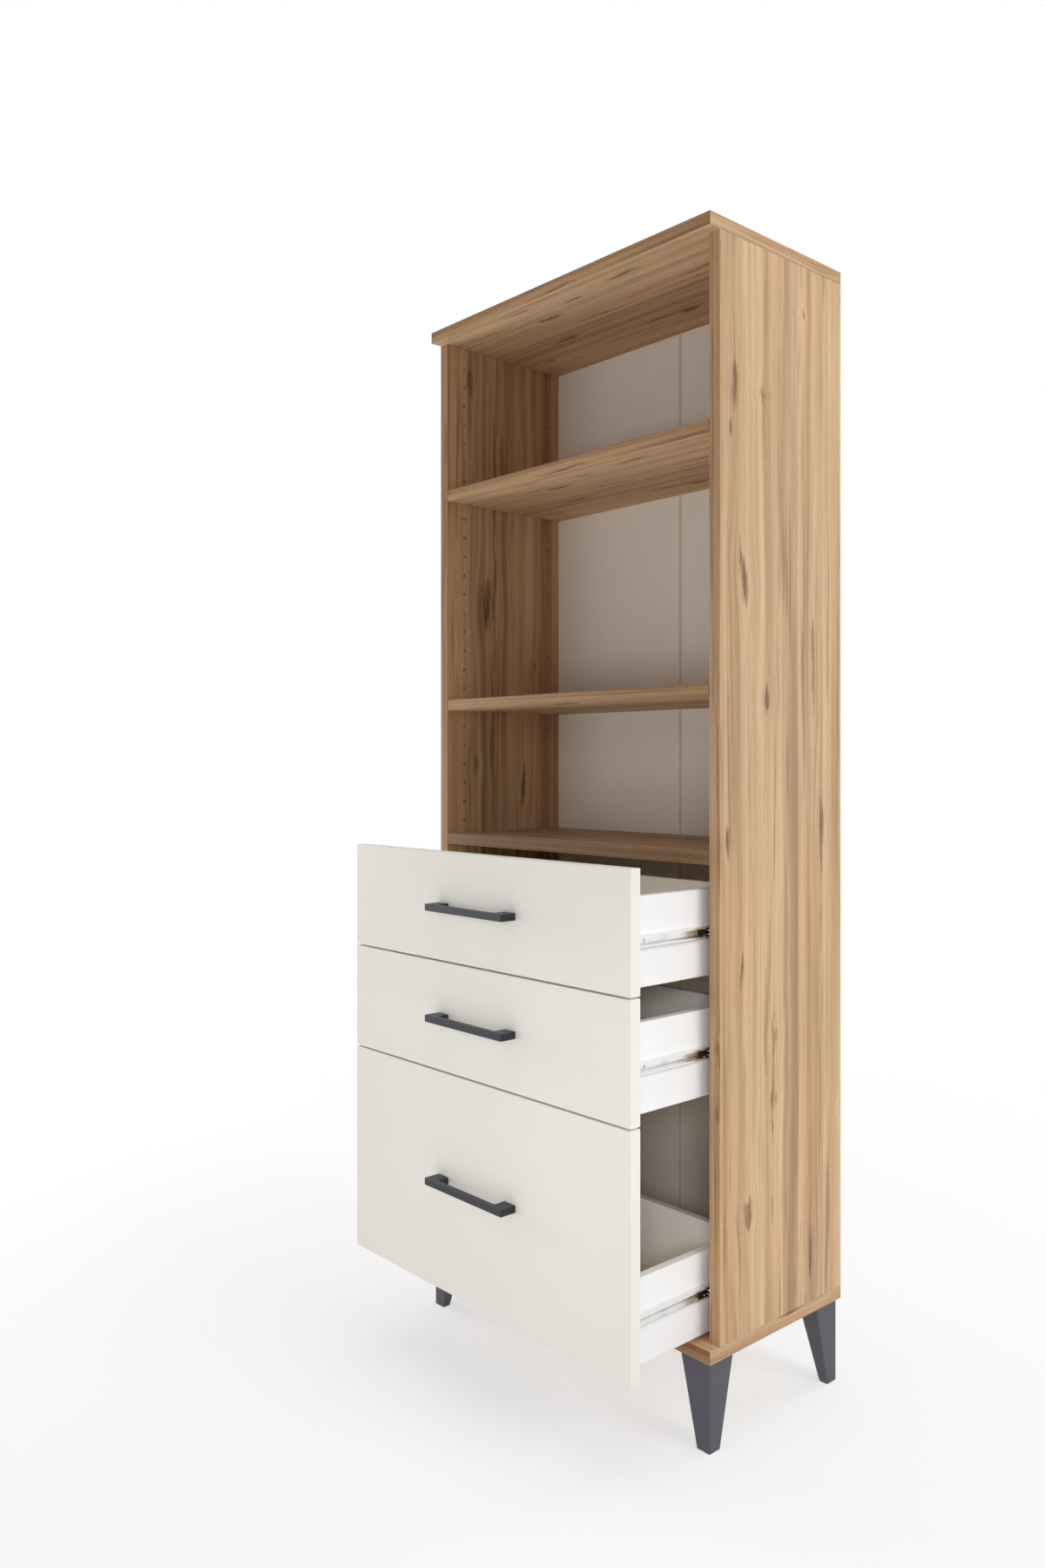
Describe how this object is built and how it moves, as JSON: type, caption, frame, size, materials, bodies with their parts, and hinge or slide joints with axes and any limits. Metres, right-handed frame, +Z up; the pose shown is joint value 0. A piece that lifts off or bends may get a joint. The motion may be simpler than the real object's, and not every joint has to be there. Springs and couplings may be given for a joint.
{
  "type": "bookcase with drawers",
  "caption": "Tall free-standing bookcase on tapered legs: open wood-grain compartments with adjustable shelves above a stack of cream drawers on ball runners, with dark bar handles.",
  "frame": {"origin": "on the floor, under the middle of the carcass's footprint", "axes": "+Z up, -Y towards the fronts, +X to the right seen from the front"},
  "size_m": [0.6, 0.4763, 1.632],
  "materials": {
    "carcass_wood": "wood-grain melamine board, light brown pine look, matt",
    "cream_front": "plain cream melamine board with matching edge band, satin matt",
    "cream_back": "thin lacquered fibreboard, cream on its front",
    "white_box": "plain white melamine board, satin",
    "white_bottom": "thin fibreboard, white on its upper face",
    "joint_strip": "extruded cream plastic",
    "leg_plastic": "moulded dark grey plastic, fine grain",
    "handle_metal": "anthracite powder coat, fine and matt",
    "runner_zinc": "rolled steel, bright zinc plated",
    "cage_black": "black plastic strip, matt",
    "ball_steel": "hardened steel balls, polished",
    "fixing_steel": "zinc plated steel",
    "plug_plastic": "plastic plug in the board's colour"
  },
  "bodies": {
    "carcass": {"left_side_panel": "carcass_wood", "right_side_panel": "carcass_wood", "top_board": "carcass_wood", "bottom_board": "carcass_wood", "fixed_shelf": "carcass_wood", "lower_shelf": "carcass_wood", "upper_shelf": "carcass_wood", "back_sheet_left": "cream_back", "back_sheet_right": "cream_back", "back_joint_strip": "joint_strip", "leg_front_left": "leg_plastic", "leg_front_right": "leg_plastic", "leg_rear_left": "leg_plastic", "leg_rear_right": "leg_plastic", "carcass_screws": "fixing_steel", "screw_plugs": "plug_plastic", "shelf_cam_fittings": "fixing_steel", "shelf_pins": "fixing_steel", "leg_studs": "fixing_steel", "panel_rails_1": "runner_zinc", "panel_rails_2": "runner_zinc", "panel_rails_3": "runner_zinc"},
    "drawer_1": {"drawer_1_front": "cream_front", "drawer_1_left_side": "white_box", "drawer_1_right_side": "white_box", "drawer_1_back": "white_box", "drawer_1_bottom": "white_bottom", "drawer_1_handle": "handle_metal", "drawer_1_handle_screws": "fixing_steel", "drawer_1_front_fittings": "fixing_steel", "drawer_1_corner_screws": "fixing_steel", "drawer_1_channels": "runner_zinc"},
    "ball_cages_1": {"ball_cages_1": "cage_black", "runner_balls_1": "ball_steel"},
    "drawer_2": {"drawer_2_front": "cream_front", "drawer_2_left_side": "white_box", "drawer_2_right_side": "white_box", "drawer_2_back": "white_box", "drawer_2_bottom": "white_bottom", "drawer_2_handle": "handle_metal", "drawer_2_handle_screws": "fixing_steel", "drawer_2_front_fittings": "fixing_steel", "drawer_2_corner_screws": "fixing_steel", "drawer_2_channels": "runner_zinc"},
    "ball_cages_2": {"ball_cages_2": "cage_black", "runner_balls_2": "ball_steel"},
    "drawer_3": {"drawer_3_front": "cream_front", "drawer_3_left_side": "white_box", "drawer_3_right_side": "white_box", "drawer_3_back": "white_box", "drawer_3_bottom": "white_bottom", "drawer_3_handle": "handle_metal", "drawer_3_handle_screws": "fixing_steel", "drawer_3_front_fittings": "fixing_steel", "drawer_3_corner_screws": "fixing_steel", "drawer_3_channels": "runner_zinc"},
    "ball_cages_3": {"ball_cages_3": "cage_black", "runner_balls_3": "ball_steel"}
  },
  "joints": [
    {"name": "drawer_1_slide", "type": "slide", "parent": "carcass", "child": "drawer_1", "axis": [0, -1, 0], "range_m": [-0.15, 0.035]},
    {"name": "ball_cages_1_slide", "type": "slide", "parent": "carcass", "child": "ball_cages_1", "axis": [0, -1, 0], "range_m": [-0.075, 0.0175]},
    {"name": "drawer_2_slide", "type": "slide", "parent": "carcass", "child": "drawer_2", "axis": [0, -1, 0], "range_m": [-0.15, 0.035]},
    {"name": "ball_cages_2_slide", "type": "slide", "parent": "carcass", "child": "ball_cages_2", "axis": [0, -1, 0], "range_m": [-0.075, 0.0175]},
    {"name": "drawer_3_slide", "type": "slide", "parent": "carcass", "child": "drawer_3", "axis": [0, -1, 0], "range_m": [-0.15, 0.035]},
    {"name": "ball_cages_3_slide", "type": "slide", "parent": "carcass", "child": "ball_cages_3", "axis": [0, -1, 0], "range_m": [-0.075, 0.0175]}
  ],
  "couplings": [
    {"joint": "ball_cages_1_slide", "follows": "drawer_1_slide", "ratio": 0.5},
    {"joint": "ball_cages_2_slide", "follows": "drawer_2_slide", "ratio": 0.5},
    {"joint": "ball_cages_3_slide", "follows": "drawer_3_slide", "ratio": 0.5}
  ]
}
